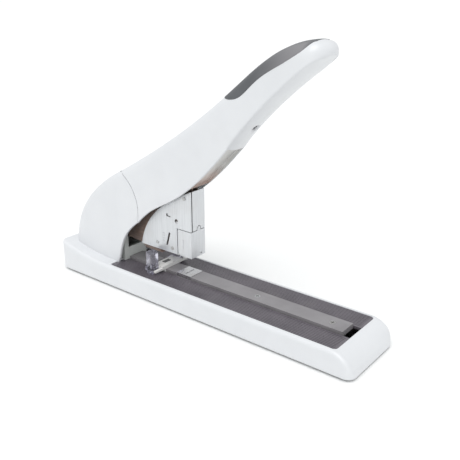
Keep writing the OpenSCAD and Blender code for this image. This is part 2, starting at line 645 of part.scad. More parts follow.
module driver_holder() color([0.42, 0.42, 0.44]) at_pivot() difference() {
    union() {
        box(96, blade_x0, -mag_wall_y0, mag_wall_y0, pad_z - 15, pad_z - 8);
        box(96, blade_x0, -ear_y1, ear_y1, pad_z - 8, pad_z);
        both_sides() box(96, blade_x0, ear_y0, ear_y1, pad_z, roller_pos[1] + 6);
    }
    hull() for (x = [roller_pos[0], roller_pos[0] + 6.4])
        rod_y(x, roller_pos[1] + 0.1, roller_pin_r + 0.4, -20, 20);
    for (y = [-3.2, 3.2]) translate([90, y, pad_z - 11.5]) rotate([0, 90, 0]) cylinder(r = 1.2, h = 40);
}

module driver_blade() color([0.82, 0.82, 0.84]) at_pivot() difference() {
    box(blade_x0, blade_x1, -staple_y + 0.1, staple_y - 0.1, pad_z - 40.1, pad_z - 6);
    for (y = [-3.2, 3.2]) translate([90, y, pad_z - 11.5]) rotate([0, 90, 0]) cylinder(r = 1.2, h = 40);
}

module driver_rivets() color([0.7, 0.7, 0.72]) at_pivot() for (y = [-3.2, 3.2]) {
    translate([97, y, pad_z - 11.5]) rotate([0, 90, 0]) cylinder(r = 1.2, h = blade_x1 - 97);
}

base_shell();
base_plate();
rubber_feet();
base_screws();
deck_near();
deck_far();
rail();
rail_screws();
anvil();
frame_bracket();
frame_bolts();
frame_tie();
pivot_pin();
pivot_clips();
pivot_spacers();
handle_spring();
rear_cover();
stop_carriage();
stop_fence();
stop_index();
handle_shell();
handle_grip();
handle_underplate();
handle_web();
handle_screw();
main_lever();
roller_pin();
drive_roller();
head_arm();
head_casing();
head_rivets();
jam_gate();
gate_pin();
magazine_channel();
magazine_core();
staple_strip();
staple_pusher();
pusher_rod();
pusher_spring();
driver_holder();
driver_blade();
driver_rivets();
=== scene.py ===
import bpy, json, math
import numpy as np
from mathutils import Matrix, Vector


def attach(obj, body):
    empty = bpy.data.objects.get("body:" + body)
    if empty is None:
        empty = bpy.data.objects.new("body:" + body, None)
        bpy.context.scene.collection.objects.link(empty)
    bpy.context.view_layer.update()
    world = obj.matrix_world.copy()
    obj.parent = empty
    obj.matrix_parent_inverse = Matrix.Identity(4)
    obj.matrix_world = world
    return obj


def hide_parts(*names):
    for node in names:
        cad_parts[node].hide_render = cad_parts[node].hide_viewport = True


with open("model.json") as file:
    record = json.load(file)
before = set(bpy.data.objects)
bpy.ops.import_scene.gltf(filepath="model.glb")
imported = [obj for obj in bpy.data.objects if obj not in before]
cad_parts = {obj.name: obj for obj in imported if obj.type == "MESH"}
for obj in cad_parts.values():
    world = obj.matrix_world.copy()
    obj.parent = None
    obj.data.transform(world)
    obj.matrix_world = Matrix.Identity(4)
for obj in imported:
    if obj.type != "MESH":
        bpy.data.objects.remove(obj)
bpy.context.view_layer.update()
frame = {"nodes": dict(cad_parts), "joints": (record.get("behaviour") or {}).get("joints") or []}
nodes = frame["nodes"]
pivot = next(joint for joint in frame["joints"] if joint["name"] == "handle_hinge")["pos_m"]
print("frame loaded:", len(nodes), "nodes")


# mesh helpers

def bezier(a, b, c, d, count=60):
    # cubic curve: (1-t)^3 a + 3 (1-t)^2 t b + 3 (1-t) t^2 c + t^3 d
    t = np.linspace(0, 1, count)[:, None]
    a, b, c, d = (np.array(p, float) for p in (a, b, c, d))
    return (1 - t) ** 3 * a + 3 * (1 - t) ** 2 * t * b + 3 * (1 - t) * t ** 2 * c + t ** 3 * d


def joined(*lines):
    return np.concatenate([lines[0]] + [line[1:] for line in lines[1:]])


def along(line, share):
    # the point at this share of the line's length, for every share in the array
    step = np.r_[0, np.cumsum(np.linalg.norm(np.diff(line, axis=0), axis=1))]
    where = np.asarray(share) * step[-1]
    return np.stack([np.interp(where, step, line[:, k]) for k in range(line.shape[1])], -1)


def smooth(x):
    x = np.clip(x, 0, 1)
    return x * x * (3 - 2 * x)


def gridQuads(rows, columns, start=0):
    # four corners for each cell of a grid; faces point along row direction x column direction
    index = np.arange(rows * columns).reshape(rows, columns) + start
    return np.stack([index[:-1, :-1], index[1:, :-1], index[1:, 1:], index[:-1, 1:]], -1).reshape(-1, 4)


def surfaceMesh(name, grids, body, material, replaced=(), sharpAngle=38):
    # each grid is an array of points [row, column, xyz] in metres; neighbouring points make one quad
    points, quads, start = [], [], 0
    for grid in grids:
        rows, columns = grid.shape[:2]
        points.append(grid.reshape(-1, 3))
        quads.append(gridQuads(rows, columns, start))
        start += rows * columns
    # points closer than two microns are one, so seams and poles close
    points, quads = np.concatenate(points), np.concatenate(quads)
    keys = np.round(points / 2e-6).astype(np.int64)
    first, same = np.unique(keys, axis=0, return_index=True, return_inverse=True)[1:]
    faces = [list(dict.fromkeys(quad)) for quad in same.ravel()[quads].tolist()]
    mesh = bpy.data.meshes.new(name)
    mesh.from_pydata(points[first], [], [face for face in faces if len(face) > 2])
    mesh.validate()
    mesh.polygons.foreach_set("use_smooth", np.ones(len(mesh.polygons), bool))
    mesh.set_sharp_from_angle(angle=math.radians(sharpAngle))
    piece = bpy.data.objects.new(name, mesh)
    bpy.context.scene.collection.objects.link(piece)
    mesh.materials.append(material)
    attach(piece, body)
    if replaced:
        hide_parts(*replaced)
    return piece


# material helpers

class Maker:
    # adds nodes to one tree: sockets go in a dictionary by name or number, a node's own settings are keywords
    def __init__(self, tree):
        self.tree = tree

    def node(self, kind, sockets=None, **settings):
        made = self.tree.nodes.new("ShaderNode" + kind)
        for key, value in settings.items():
            setattr(made, key, value)
        for key, value in (sockets or {}).items():
            self.put(made, key, value)
        return made

    def put(self, made, key, value):
        if isinstance(value, bpy.types.NodeSocket):
            self.tree.links.new(value, made.inputs[key])
        else:
            made.inputs[key].default_value = value

    def math(self, operation, a, b=0.0, clamp=False):
        return self.node("Math", {0: a, 1: b}, operation=operation, use_clamp=clamp).outputs[0]

    def blend(self, factor, a, b):
        return self.node("Mix", {0: factor, 6: a, 7: b}, data_type="RGBA").outputs[2]

    def ramp(self, value, low, high, fromLow=0.0, fromHigh=1.0, easing="LINEAR"):
        sockets = {"Value": value, "From Min": fromLow, "From Max": fromHigh, "To Min": low, "To Max": high}
        return self.node("MapRange", sockets, interpolation_type=easing).outputs[0]

    def place(self):
        return self.node("TexCoord").outputs["Object"]


def newGroup(name, inputs, outputs):
    tree = bpy.data.node_groups.new(name, "ShaderNodeTree")
    for label, kind, value in inputs:
        socket = tree.interface.new_socket(name=label, in_out="INPUT", socket_type="NodeSocket" + kind)
        socket.default_value = value
    for label, kind in outputs:
        tree.interface.new_socket(name=label, in_out="OUTPUT", socket_type="NodeSocket" + kind)
    given, result = tree.nodes.new("NodeGroupInput"), tree.nodes.new("NodeGroupOutput")
    return tree, Maker(tree), given.outputs, result.inputs


def buildGrain():
    # moulded or rubber grain: fine noise plus a slower one, as a height and as a mask
    inputs = [("Scale", "Float", 900.0), ("Slow Scale", "Float", 60.0), ("Fine Share", "Float", 0.7)]
    tree, make, given, result = newGroup("mouldGrain", inputs, [("Height", "Float"), ("Mask", "Float")])
    place = make.place()
    fine = make.node("TexNoise", {"Vector": place, "Scale": given["Scale"], "Detail": 3.0, "Roughness": 0.6})
    slow = make.node("TexNoise", {"Vector": place, "Scale": given["Slow Scale"], "Detail": 2.0})
    mix = make.node("Mix", {0: given["Fine Share"], 2: slow.outputs[0], 3: fine.outputs[0]})
    tree.links.new(mix.outputs[0], result["Height"])
    tree.links.new(slow.outputs[0], result["Mask"])
    return tree


def buildBrushing():
    # brushed metal: noise drawn out along one direction by a very unequal scale
    inputs = [("Stretch", "Vector", (40.0, 1200.0, 1200.0)), ("Blotch Scale", "Float", 45.0)]
    tree, make, given, result = newGroup("brushLines", inputs, [("Lines", "Float"), ("Blotch", "Float")])
    place = make.place()
    drawn = make.node("Mapping", {"Vector": place, "Scale": given["Stretch"]}).outputs[0]
    lines = make.node("TexNoise", {"Vector": drawn, "Scale": 1.0, "Detail": 4.0, "Roughness": 0.65})
    blotch = make.node("TexNoise", {"Vector": place, "Scale": given["Blotch Scale"], "Detail": 3.0})
    tree.links.new(lines.outputs[0], result["Lines"])
    tree.links.new(blotch.outputs[0], result["Blotch"])
    return tree


def buildHandling():
    # slight soiling where hands and paper touch: the part of a noise above a threshold, as a mask
    inputs = [("Scale", "Float", 25.0), ("Threshold", "Float", 0.52), ("Amount", "Float", 0.3)]
    tree, make, given, result = newGroup("handlingMarks", inputs, [("Mask", "Float")])
    sockets = {"Vector": make.place(), "Scale": given["Scale"], "Detail": 6.0, "Roughness": 0.6}
    lifted = make.math("SUBTRACT", make.node("TexNoise", sockets).outputs[0], given["Threshold"])
    spread = make.math("MULTIPLY", lifted, 6.0, clamp=True)
    tree.links.new(make.math("MULTIPLY", spread, given["Amount"]), result["Mask"])
    return tree


grain, brushing, handling = buildGrain(), buildBrushing(), buildHandling()


def newMaterial(name, sockets):
    material = bpy.data.materials.new(name)
    material.use_nodes = True
    material.node_tree.nodes.clear()
    make = Maker(material.node_tree)
    surface = make.node("BsdfPrincipled", sockets)
    make.node("OutputMaterial", {0: surface.outputs[0]})
    return material, make, surface


def addBump(make, surface, height, strength, distance):
    made = make.node("Bump", {"Height": height, "Strength": strength, "Distance": distance})
    make.put(surface, "Normal", made.outputs[0])


def addTone(material):
    # the parts needed to lay one more tone over a finished base colour, and the object's own X, Y and Z
    make = Maker(material.node_tree)
    surface = next(node for node in material.node_tree.nodes if node.type == "BSDF_PRINCIPLED")
    place = make.node("SeparateXYZ", {"Vector": make.place()}).outputs
    return make, surface, surface.inputs["Base Color"].links[0].from_socket, place


# materials

soil, stain = (0.45, 0.43, 0.40, 1), (0.30, 0.24, 0.18, 1)


def mouldedPlastic(name, light, dark, roughness, scale, depth, mark=0.25, coat=0.0, markColour=soil):
    # satin moulded plastic: faint tone drift, fine spark-eroded grain, a few handling marks
    material, make, surface = newMaterial(name, {"IOR": 1.5, "Coat Weight": coat, "Coat Roughness": 0.18})
    texture = make.node("Group", {"Scale": scale, "Slow Scale": 38.0, "Fine Share": 0.8}, node_tree=grain)
    marks = make.node("Group", {"Scale": 30.0, "Threshold": 0.56, "Amount": mark}, node_tree=handling)
    tone = make.blend(make.ramp(texture.outputs["Mask"], 0, 1, 0.35, 0.65), light, dark)
    make.put(surface, "Base Color", make.blend(marks.outputs["Mask"], tone, markColour))
    worn = make.ramp(texture.outputs["Height"], roughness - 0.05, roughness + 0.07, 0.3, 0.7)
    make.put(surface, "Roughness", worn)
    addBump(make, surface, texture.outputs["Height"], 0.35, depth)
    return material


def workedMetal(name, light, dark, roughness, stretch, depth, blotch=0.35, tint=stain, metallic=1.0):
    # drawn or brushed metal: streaked tone and roughness, a little stain in blotches
    material, make, surface = newMaterial(name, {"Metallic": metallic, "IOR": 1.5})
    texture = make.node("Group", {"Stretch": stretch, "Blotch Scale": 55.0}, node_tree=brushing)
    lines = texture.outputs["Lines"]
    tone = make.blend(make.ramp(lines, 0, 1, 0.3, 0.7), light, dark)
    spots = make.ramp(texture.outputs["Blotch"], 0, blotch, 0.5, 0.75)
    make.put(surface, "Base Color", make.blend(spots, tone, tint))
    make.put(surface, "Roughness", make.ramp(lines, roughness - 0.08, roughness + 0.12, 0.3, 0.7))
    addBump(make, surface, lines, 0.25, depth)
    return material


def clearPlastic():
    # clear acrylic with a faint violet tint, fine scratches in its roughness
    clear = {"Transmission Weight": 0.92, "IOR": 1.49, "Metallic": 0.0}
    material, make, surface = newMaterial("clearPlastic", clear)
    texture = make.node("Group", {"Stretch": (90.0, 700.0, 260.0), "Blotch Scale": 70.0}, node_tree=brushing)
    clouds = make.ramp(texture.outputs["Blotch"], 0, 1, 0.3, 0.7)
    make.put(surface, "Base Color", make.blend(clouds, (0.83, 0.82, 0.90, 1), (0.72, 0.71, 0.81, 1)))
    make.put(surface, "Roughness", make.ramp(texture.outputs["Lines"], 0.02, 0.14, 0.35, 0.7))
    addBump(make, surface, texture.outputs["Lines"], 0.1, 0.00002)
    return material


whitePlastic = mouldedPlastic("whitePlastic", light=(0.69, 0.703, 0.722, 1), dark=(0.672, 0.685, 0.705, 1),
                              roughness=0.34, scale=1500.0, depth=0.00005, mark=0.05, coat=0.15)
gripRubber = mouldedPlastic("gripRubber", light=(0.095, 0.10, 0.108, 1), dark=(0.075, 0.079, 0.086, 1),
                            roughness=0.46, scale=2200.0, depth=0.00012, mark=0.12,
                            markColour=(0.16, 0.155, 0.15, 1))
deckPlastic = mouldedPlastic("deckPlastic", light=(0.125, 0.112, 0.13, 1), dark=(0.10, 0.09, 0.105, 1),
                             roughness=0.33, scale=1800.0, depth=0.00006, mark=0.22, coat=0.2,
                             markColour=(0.2, 0.19, 0.19, 1))
railPlastic = mouldedPlastic("railPlastic", light=(0.235, 0.225, 0.235, 1), dark=(0.20, 0.19, 0.20, 1),
                             roughness=0.36, scale=1600.0, depth=0.00006, mark=0.2, coat=0.2,
                             markColour=(0.33, 0.31, 0.29, 1))
stopPlastic = mouldedPlastic("stopPlastic", light=(0.76, 0.755, 0.75, 1), dark=(0.72, 0.715, 0.70, 1),
                             roughness=0.3, scale=1500.0, depth=0.00004, mark=0.15, coat=0.2)
indexPlastic = mouldedPlastic("indexPlastic", light=(0.03, 0.03, 0.034, 1), dark=(0.02, 0.02, 0.023, 1),
                              roughness=0.3, scale=1500.0, depth=0.00004, mark=0.2)
footRubber = mouldedPlastic("footRubber", light=(0.028, 0.028, 0.03, 1), dark=(0.02, 0.02, 0.021, 1),
                            roughness=0.75, scale=1200.0, depth=0.0002, mark=0.4,
                            markColour=(0.12, 0.11, 0.10, 1))
bracketPaint = mouldedPlastic("bracketPaint", light=(0.66, 0.685, 0.66, 1), dark=(0.58, 0.60, 0.575, 1),
                              roughness=0.4, scale=420.0, depth=0.00012, mark=0.35, coat=0.1,
                              markColour=(0.20, 0.17, 0.14, 1))
headSteel = workedMetal("headSteel", light=(0.74, 0.755, 0.775, 1), dark=(0.62, 0.635, 0.655, 1),
                        roughness=0.36, stretch=(1300.0, 1300.0, 28.0), depth=0.00004, blotch=0.12,
                        tint=(0.52, 0.47, 0.43, 1), metallic=0.75)
bladeSteel = workedMetal("bladeSteel", light=(0.70, 0.70, 0.71, 1), dark=(0.52, 0.52, 0.53, 1),
                         roughness=0.22, stretch=(1300.0, 1300.0, 30.0), depth=0.00004)
zincSteel = workedMetal("zincSteel", light=(0.60, 0.61, 0.62, 1), dark=(0.45, 0.46, 0.46, 1),
                        roughness=0.34, stretch=(220.0, 260.0, 240.0), depth=0.00005)
darkSteel = workedMetal("darkSteel", light=(0.27, 0.205, 0.18, 1), dark=(0.17, 0.13, 0.115, 1),
                        roughness=0.42, stretch=(30.0, 900.0, 600.0), depth=0.00006, blotch=0.5,
                        tint=(0.20, 0.11, 0.06, 1), metallic=0.6)
springSteel = workedMetal("springSteel", light=(0.16, 0.16, 0.17, 1), dark=(0.08, 0.08, 0.085, 1),
                          roughness=0.3, stretch=(500.0, 500.0, 500.0), depth=0.00004)
bronze = workedMetal("bronze", light=(0.62, 0.44, 0.20, 1), dark=(0.42, 0.28, 0.12, 1), roughness=0.36,
                     stretch=(400.0, 60.0, 400.0), depth=0.00005)
webMetal = workedMetal("webMetal", light=(0.66, 0.655, 0.64, 1), dark=(0.57, 0.565, 0.55, 1),
                       roughness=0.42, stretch=(60.0, 1400.0, 60.0), depth=0.00004, blotch=0.25,
                       tint=(0.50, 0.42, 0.37, 1), metallic=0.35)
acrylic = clearPlastic()


def paintWebReflection():
    # painted reflection: the web takes a warm pinkish-brown tone near the head
    make, surface, before, place = addTone(webMetal)
    share = make.ramp(place[0], 0.0, 0.6, 0.012, -0.010, "SMOOTHSTEP")
    make.put(surface, "Base Color", make.blend(share, before, (0.55, 0.40, 0.34, 1)))


def paintGripSheen():
    # painted sheen: the grip is lighter forward, and on its flanks rather than on the ridge
    make, surface, before, place = addTone(gripRubber)
    forward = make.ramp(place[0], 0.0, 1.0, 0.062, 0.118, "SMOOTHSTEP")
    flank = make.ramp(make.math("ABSOLUTE", place[1]), 0.0, 1.0, 0.0065, 0.016, "SMOOTHSTEP")
    end = make.ramp(place[0], 0.0, 1.0, 0.127, 0.117, "SMOOTHSTEP")
    share = make.math("MULTIPLY", make.math("MULTIPLY", forward, flank), end)
    sheenShare = make.math("MULTIPLY", share, 0.9)
    make.put(surface, "Base Color", make.blend(sheenShare, before, (0.24, 0.235, 0.245, 1)))


def paintGrooveShade():
    # painted shade: the groove down the head's front edge is dark: behind the front face, between two widths,
    # above the gate
    groove = {"face": -0.0133, "near": -0.0098, "far": -0.0080, "bottom": 0.0785}
    make, surface, before, place = addTone(headSteel)
    behind = make.math("LESS_THAN", place[0], groove["face"])
    near = make.math("GREATER_THAN", place[1], groove["near"])
    far = make.math("LESS_THAN", place[1], groove["far"])
    above = make.math("GREATER_THAN", place[2], groove["bottom"])
    share = make.math("MULTIPLY", make.math("MULTIPLY", behind, near), make.math("MULTIPLY", far, above))
    make.put(surface, "Base Color", make.blend(share, before, (0.10, 0.09, 0.10, 1)))


paintWebReflection()
paintGripSheen()
paintGrooveShade()

# the nodes that each material is given to
finishes = [
    (whitePlastic, "base_shell rear_cover handle_shell handle_underplate"),
    (gripRubber, "handle_grip"),
    (deckPlastic, "deck_near deck_far"),
    (railPlastic, "rail"),
    (stopPlastic, "stop_carriage"),
    (acrylic, "stop_fence"),
    (indexPlastic, "stop_index staple_pusher"),
    (footRubber, "rubber_feet"),
    (bracketPaint, "frame_bracket"),
    (headSteel, "head_casing jam_gate"),
    (bladeSteel, "anvil staple_strip driver_blade"),
    (zincSteel, "base_plate base_screws rail_screws frame_bolts frame_tie pivot_pin roller_pin drive_roller"),
    (zincSteel, "head_rivets gate_pin magazine_channel magazine_core pusher_rod driver_rivets"),
    (darkSteel, "main_lever head_arm driver_holder"),
    (springSteel, "pivot_clips handle_spring handle_screw pusher_spring"),
    (bronze, "pivot_spacers"),
    (webMetal, "handle_web"),
]
finished = 0
for material, names in finishes:
    for name in names.split():
        nodes[name].data.materials.clear()
        nodes[name].data.materials.append(material)
        finished += 1
print("materials on", finished, "nodes")


# handle and cover: one kind of skin
# Sizes are in millimetres from the pivot: [forward, up]. A skin has a lower line and a top line. At each
# station a chord joins them, the side follows it, and the section rounds over the top edge to the other side.

handle = {
    "seamRadius": 50.4, "edge": 7.0, "wall": 2.2, "crown": 0.9, "lowerEdge": 0.7, "crease": 2.4,
    "plateStart": 166.5, "lipDepth": 26.0, "bowShare": 0.28, "slant": 0.82, "stations": 170,
    "tip": (265.7, 177.7), "tipHalf": 21.3,
}
cover = {
    "seamRadius": 50.0, "edge": 7.0, "wall": 2.6, "crown": 0.9, "lowerEdge": 0.7, "lipShare": 0.2,
    "stations": 90,
}
seam = {"low": -15.0, "high": 58.5}  # degrees about the pivot
section = {"sideEnd": 0.62, "roundEnd": 0.84, "softStart": 205, "softLength": 45, "softer": 6}


def onCircle(radius, degrees):
    return [radius * math.cos(math.radians(degrees)), radius * math.sin(math.radians(degrees))]


def toWorld(x, y, z):
    return np.stack([x / 1000 + pivot[0], y / 1000, z / 1000 + pivot[2]], -1)


tip, tipHalf = handle["tip"], handle["tipHalf"]
seamTop, seamFoot = (onCircle(handle["seamRadius"], seam[end]) for end in ("high", "low"))
topLine = joined(bezier(seamTop, [187.5, 136.65], [196.5, 182.2], [251.9, 187.5], 120),
                 bezier([251.9, 187.5], [258.6, 188.13], [265.9, 184.2], tip, 30))
lowLine = joined(bezier(seamFoot, [80.4, 23.3], [94.2, 1.9], [166.5, 84.6], 90),
                 bezier([166.5, 84.6], [184, 106.5], [212, 137.0], [255.5, 169.2], 70),
                 bezier([255.5, 169.2], [260.2, 172.8], [265.2, 174.2], tip, 20))
planLine = joined(bezier([20, 26], [110, 16.5], [170, 13], [246.9, tipHalf], 80),
                  bezier([246.9, tipHalf], [259.7, tipHalf + 1.2], [tip[0], 11.7], [tip[0], 0], 60))
backLine = bezier([-56.6, -62], [-57.6, -12], [-16.6, 21], onCircle(cover["seamRadius"], seam["high"]), 90)
frontLine = bezier([16.9, -67.8], [24.3, -53.3], [20, -33.8], onCircle(cover["seamRadius"], seam["low"]), 60)


def halfWidth(x):
    return np.interp(x, planLine[:, 0], planLine[:, 1])


def roundings(low, chord, size):
    # height, rounding radius and crown at each station; the rounding grows towards the tip
    height = np.linalg.norm(chord, axis=1)
    wide = halfWidth((low + chord * 0.5)[:, 0])
    softer = smooth((low[:, 0] - section["softStart"]) / section["softLength"])
    most = np.minimum((0.36 + 0.24 * softer) * height, 0.6 * wide + 1e-6)
    radius = np.minimum(size["edge"] + section["softer"] * softer, most)
    return height, radius, size["crown"] * np.minimum(1, wide / 12)


def skin(low, top, across, size, bow=None, narrower=0.0, creased=None, arcEnd=0):
    # low and top are the chord ends [n, 2]; across [n, m] runs from 0 at the side's lower edge over the side,
    # the rounding and the crown to 1 at the middle. Side: y = half width. Rounding: y = w - r (1 - cos a) at
    # height h - r (1 - sin a). Crown: the height falls by the square of y. Near the seam the chords bow.
    chord = top - low
    height, r, crown = (value[:, None] for value in roundings(low, chord, size))
    sideEnd, roundEnd = section["sideEnd"], section["roundEnd"]
    side = np.clip(across / sideEnd, 0, 1)
    turn = np.clip((across - sideEnd) / (roundEnd - sideEnd), 0, 1) * np.pi / 2
    flat = np.clip((across - roundEnd) / (1 - roundEnd), 0, 1)
    up = (height - r - crown) * side + r * np.sin(turn) + crown * (1 - (1 - flat) ** 2)
    q = up / np.maximum(height, 1e-6)
    x = low[:, 0:1] + chord[:, 0:1] * q
    z = low[:, 1:2] + chord[:, 1:2] * q
    if bow is not None:
        angle = np.radians(seam["low"] + (seam["high"] - seam["low"]) * q)
        straightX = low[arcEnd, 0] + chord[arcEnd, 0] * q
        straightZ = low[arcEnd, 1] + chord[arcEnd, 1] * q
        x = x + (size["seamRadius"] * np.cos(angle) - straightX) * bow[:, None]
        z = z + (size["seamRadius"] * np.sin(angle) - straightZ) * bow[:, None]
    w = halfWidth(x)
    y = np.where(across >= roundEnd, (w - r) * (1 - flat), w - r + r * np.cos(turn))
    if creased is not None:
        rc = creased[:, None]
        deep = np.clip(1 - up / rc, 0, 1)
        y = y - rc * (1 - np.sqrt(np.clip(1 - deep ** 2, 0, 1)))
    return x, np.maximum(y - narrower, 0), z


def bothSides(x, y, z):
    # near half, then the far half in the opposite order, as one grid
    return toWorld(np.concatenate([x, x[:, -2::-1]], 1), np.concatenate([-y, y[:, -2::-1]], 1),
                   np.concatenate([z, z[:, -2::-1]], 1))


def acrossValues(rows, fineSide=16):
    # close together at the lower edge and over the rounding
    sideEnd, roundEnd = section["sideEnd"], section["roundEnd"]
    values = np.concatenate([[0, 0.006, 0.012, 0.02, 0.03, 0.045, 0.07], np.linspace(0.1, sideEnd, fineSide),
                             np.linspace(sideEnd, roundEnd, 10)[1:], np.linspace(roundEnd, 1, 7)[1:]])
    return values[None, :].repeat(rows, 0)


def lips(low, top, size, crease, inside, **more):
    # three rows on each side: the lower edge outside, the same a wall's thickness in, and up the inner wall
    none = np.zeros((len(low), 1))
    rows = [skin(low, top, none, size, creased=crease, **more),
            skin(low, top, none, size, narrower=size["wall"], **more),
            skin(low, top, inside, size, narrower=size["wall"], **more)]
    x, y, z = (np.concatenate([row[k] for row in rows], 1) for k in range(3))
    return [toWorld(x[:, ::-1], -y[:, ::-1], z[:, ::-1]), toWorld(x, y, z)]


def handleSkin():
    # stations are closer together at the tip, where the chords shrink to a point
    share = np.r_[np.linspace(0, 0.94, handle["stations"]), 1 - np.geomspace(0.058, 0.0005, 34), 1.0]
    low, top = along(lowLine, share ** handle["slant"]), along(topLine, share)
    bow = np.clip(1 - share / handle["bowShare"], 0, 1) ** 2
    across = acrossValues(len(share))
    front = smooth((low[:, 0] - handle["plateStart"] + 4) / 12)
    crease = handle["lowerEdge"] + (handle["crease"] - handle["lowerEdge"]) * front
    crease = np.minimum(crease, 0.3 * halfWidth(low[:, 0]) + 0.02)
    x, y, z = skin(low, top, across, handle, bow, creased=crease)
    height = np.linalg.norm(top - low, axis=1)
    deep = np.minimum(handle["lipDepth"], 0.45 * height) / np.maximum(height, 1e-6)
    edges = lips(low, top, handle, crease, (deep * section["sideEnd"])[:, None], bow=bow)
    # the rear edge turns in along the seam: by the wall's thickness at the sides, by 2.4 degrees on top
    rear = skin(low[:1], top[:1], across[:1], handle, bow[:1], narrower=handle["wall"])
    turned = np.radians(-2.4 * smooth((across[:1] - 0.5) / 0.3))
    inner = (rear[0] * np.cos(turned) - rear[2] * np.sin(turned), rear[1],
             rear[0] * np.sin(turned) + rear[2] * np.cos(turned))
    seamEdge = np.concatenate([bothSides(*inner), bothSides(x[:1], y[:1], z[:1])], 0)
    return [bothSides(x, y, z), *edges, seamEdge]


surfaceMesh("handleSkin", handleSkin(), "handle", whitePlastic, ["handle_shell"])


def lowLineShare(x):
    # how far along the lower line this forward place is
    step = np.r_[0, np.cumsum(np.linalg.norm(np.diff(lowLine, axis=0), axis=1))]
    return np.interp(x, lowLine[:, 0], step) / step[-1]


def lowLineAt(where):
    # points of the lower line and its unit direction there
    base = along(lowLine, where)
    slope = along(lowLine, np.minimum(where + 0.004, 1)) - along(lowLine, where - 0.004)
    return base, slope / np.linalg.norm(slope, axis=1)[:, None]


plate = {
    "belly": 3.0, "gap": 0.4, "tipGap": 0.4, "thickness": 2.4,
    "screw": 186.0, "wellRadius": 4.6, "wellSlope": 1.3, "wellDepth": 4.2,
}


def underPlate():
    # across the belly y = v (w - gap) and the surface hangs below the crease by belly (1 - |v|^2.4)
    begin = lowLineShare(handle["plateStart"] + plate["gap"])
    base, slope = lowLineAt(begin + (0.9985 - begin) * (1 - (1 - np.linspace(0, 1, 90)) ** 1.3))
    down = np.stack([slope[:, 1], -slope[:, 0]], 1)
    v = np.linspace(-1, 1, 25)[None, :]
    wide = halfWidth(base[:, 0])
    half = np.maximum(wide - 0.8 * np.minimum(handle["crease"], 0.3 * wide), 0)[:, None]
    fade = smooth((tip[0] - plate["tipGap"] - base[:, 0]) / 20)[:, None]
    hang = plate["belly"] * (1 - np.abs(v) ** 2.4) * fade - 0.25 * np.abs(v) ** 8
    # a round well at the screw
    screw = np.array([plate["screw"], np.interp(plate["screw"], lowLine[:, 0], lowLine[:, 1])])
    away = np.sqrt(((base - screw) ** 2).sum(1)[:, None] + (half * v) ** 2)
    hang = hang - plate["wellDepth"] * smooth((plate["wellRadius"] - away) / plate["wellSlope"])
    x = base[:, 0:1] + down[:, 0:1] * hang
    z = base[:, 1:2] + down[:, 1:2] * hang
    y = half * v
    # the free rear edge is turned up by the plate's thickness
    thick = np.array([plate["thickness"], 0.5, 0.0])[:, None]
    back = np.array([0.9, 0.0, 0.0])[:, None]
    edge = toWorld(x[:1] - down[:1, 0:1] * thick + back, y[:1].repeat(3, 0), z[:1] - down[:1, 1:2] * thick)
    return [toWorld(x, y, z)[:, ::-1], edge[:, ::-1]]


surfaceMesh("underPlate", underPlate(), "handle", whitePlastic, ["handle_underplate"])

web = {"start": 117.6, "overlap": 5, "depth": 3.2, "rise": 1.6, "least": 0.5, "square": 9, "gap": 0.03}


def innerWeb():
    # a channel along the arch: the section runs up one wall, across at the web's depth and down the other,
    # with corners as a superellipse |y / half|^9 + |depth / deepest|^9 = 1; its lower end is closed by a wall
    begin, end = lowLineShare(web["start"]), lowLineShare(handle["plateStart"] + web["overlap"])
    share = np.linspace(0, 1, 60)
    base, slope = lowLineAt(begin + (end - begin) * share)
    up = np.stack([-slope[:, 1], slope[:, 0]], 1)
    turn = np.linspace(-math.pi / 2, math.pi / 2, 41)[None, :]
    v = np.sign(np.sin(turn)) * np.abs(np.sin(turn)) ** (2 / web["square"])
    deepest = (web["depth"] + web["rise"] * np.sin(math.pi * share))[:, None]
    inset = web["least"] + (deepest - web["least"]) * np.abs(np.cos(turn)) ** (2 / web["square"])
    x, z = base[:, 0:1] + up[:, 0:1] * inset, base[:, 1:2] + up[:, 1:2] * inset
    y = (halfWidth(base[:, 0:1]) - handle["wall"] - web["gap"]) * v
    fall = np.array([1.0, 0.97, 0.5, 0.06, 0.0])[:, None]
    back = np.array([0.0, 0.25, 0.3, 0.25, 0.0])[:, None]
    lower = (inset[:1] - 0.4) * fall
    wall = toWorld(x[:1] - up[:1, 0:1] * lower - slope[:1, 0:1] * back, y[:1].repeat(len(fall), 0),
                   z[:1] - up[:1, 1:2] * lower - slope[:1, 1:2] * back)
    return [toWorld(x, y, z)[:, ::-1], wall[:, ::-1]]


surfaceMesh("innerWeb", innerWeb(), "handle", webMetal, ["handle_web"])

grip = {"raised": 0.32, "sunk": 0.12, "endDip": 0.4, "rows": 110}
gripEdge = joined(bezier([160.6, 133.9], [163.0, 131.9], [168.5, 131.2], [175.3, 132.6], 16),
                  bezier([175.3, 132.6], [186.5, 135.4], [191.0, 145.0], [206.4, 155.4], 30),
                  bezier([206.4, 155.4], [217.0, 162.6], [232.0, 169.0], [245.0, 177.6], 30),
                  bezier([245.0, 177.6], [249.5, 180.7], [252.3, 184.2], [254.6, 187.2], 24))


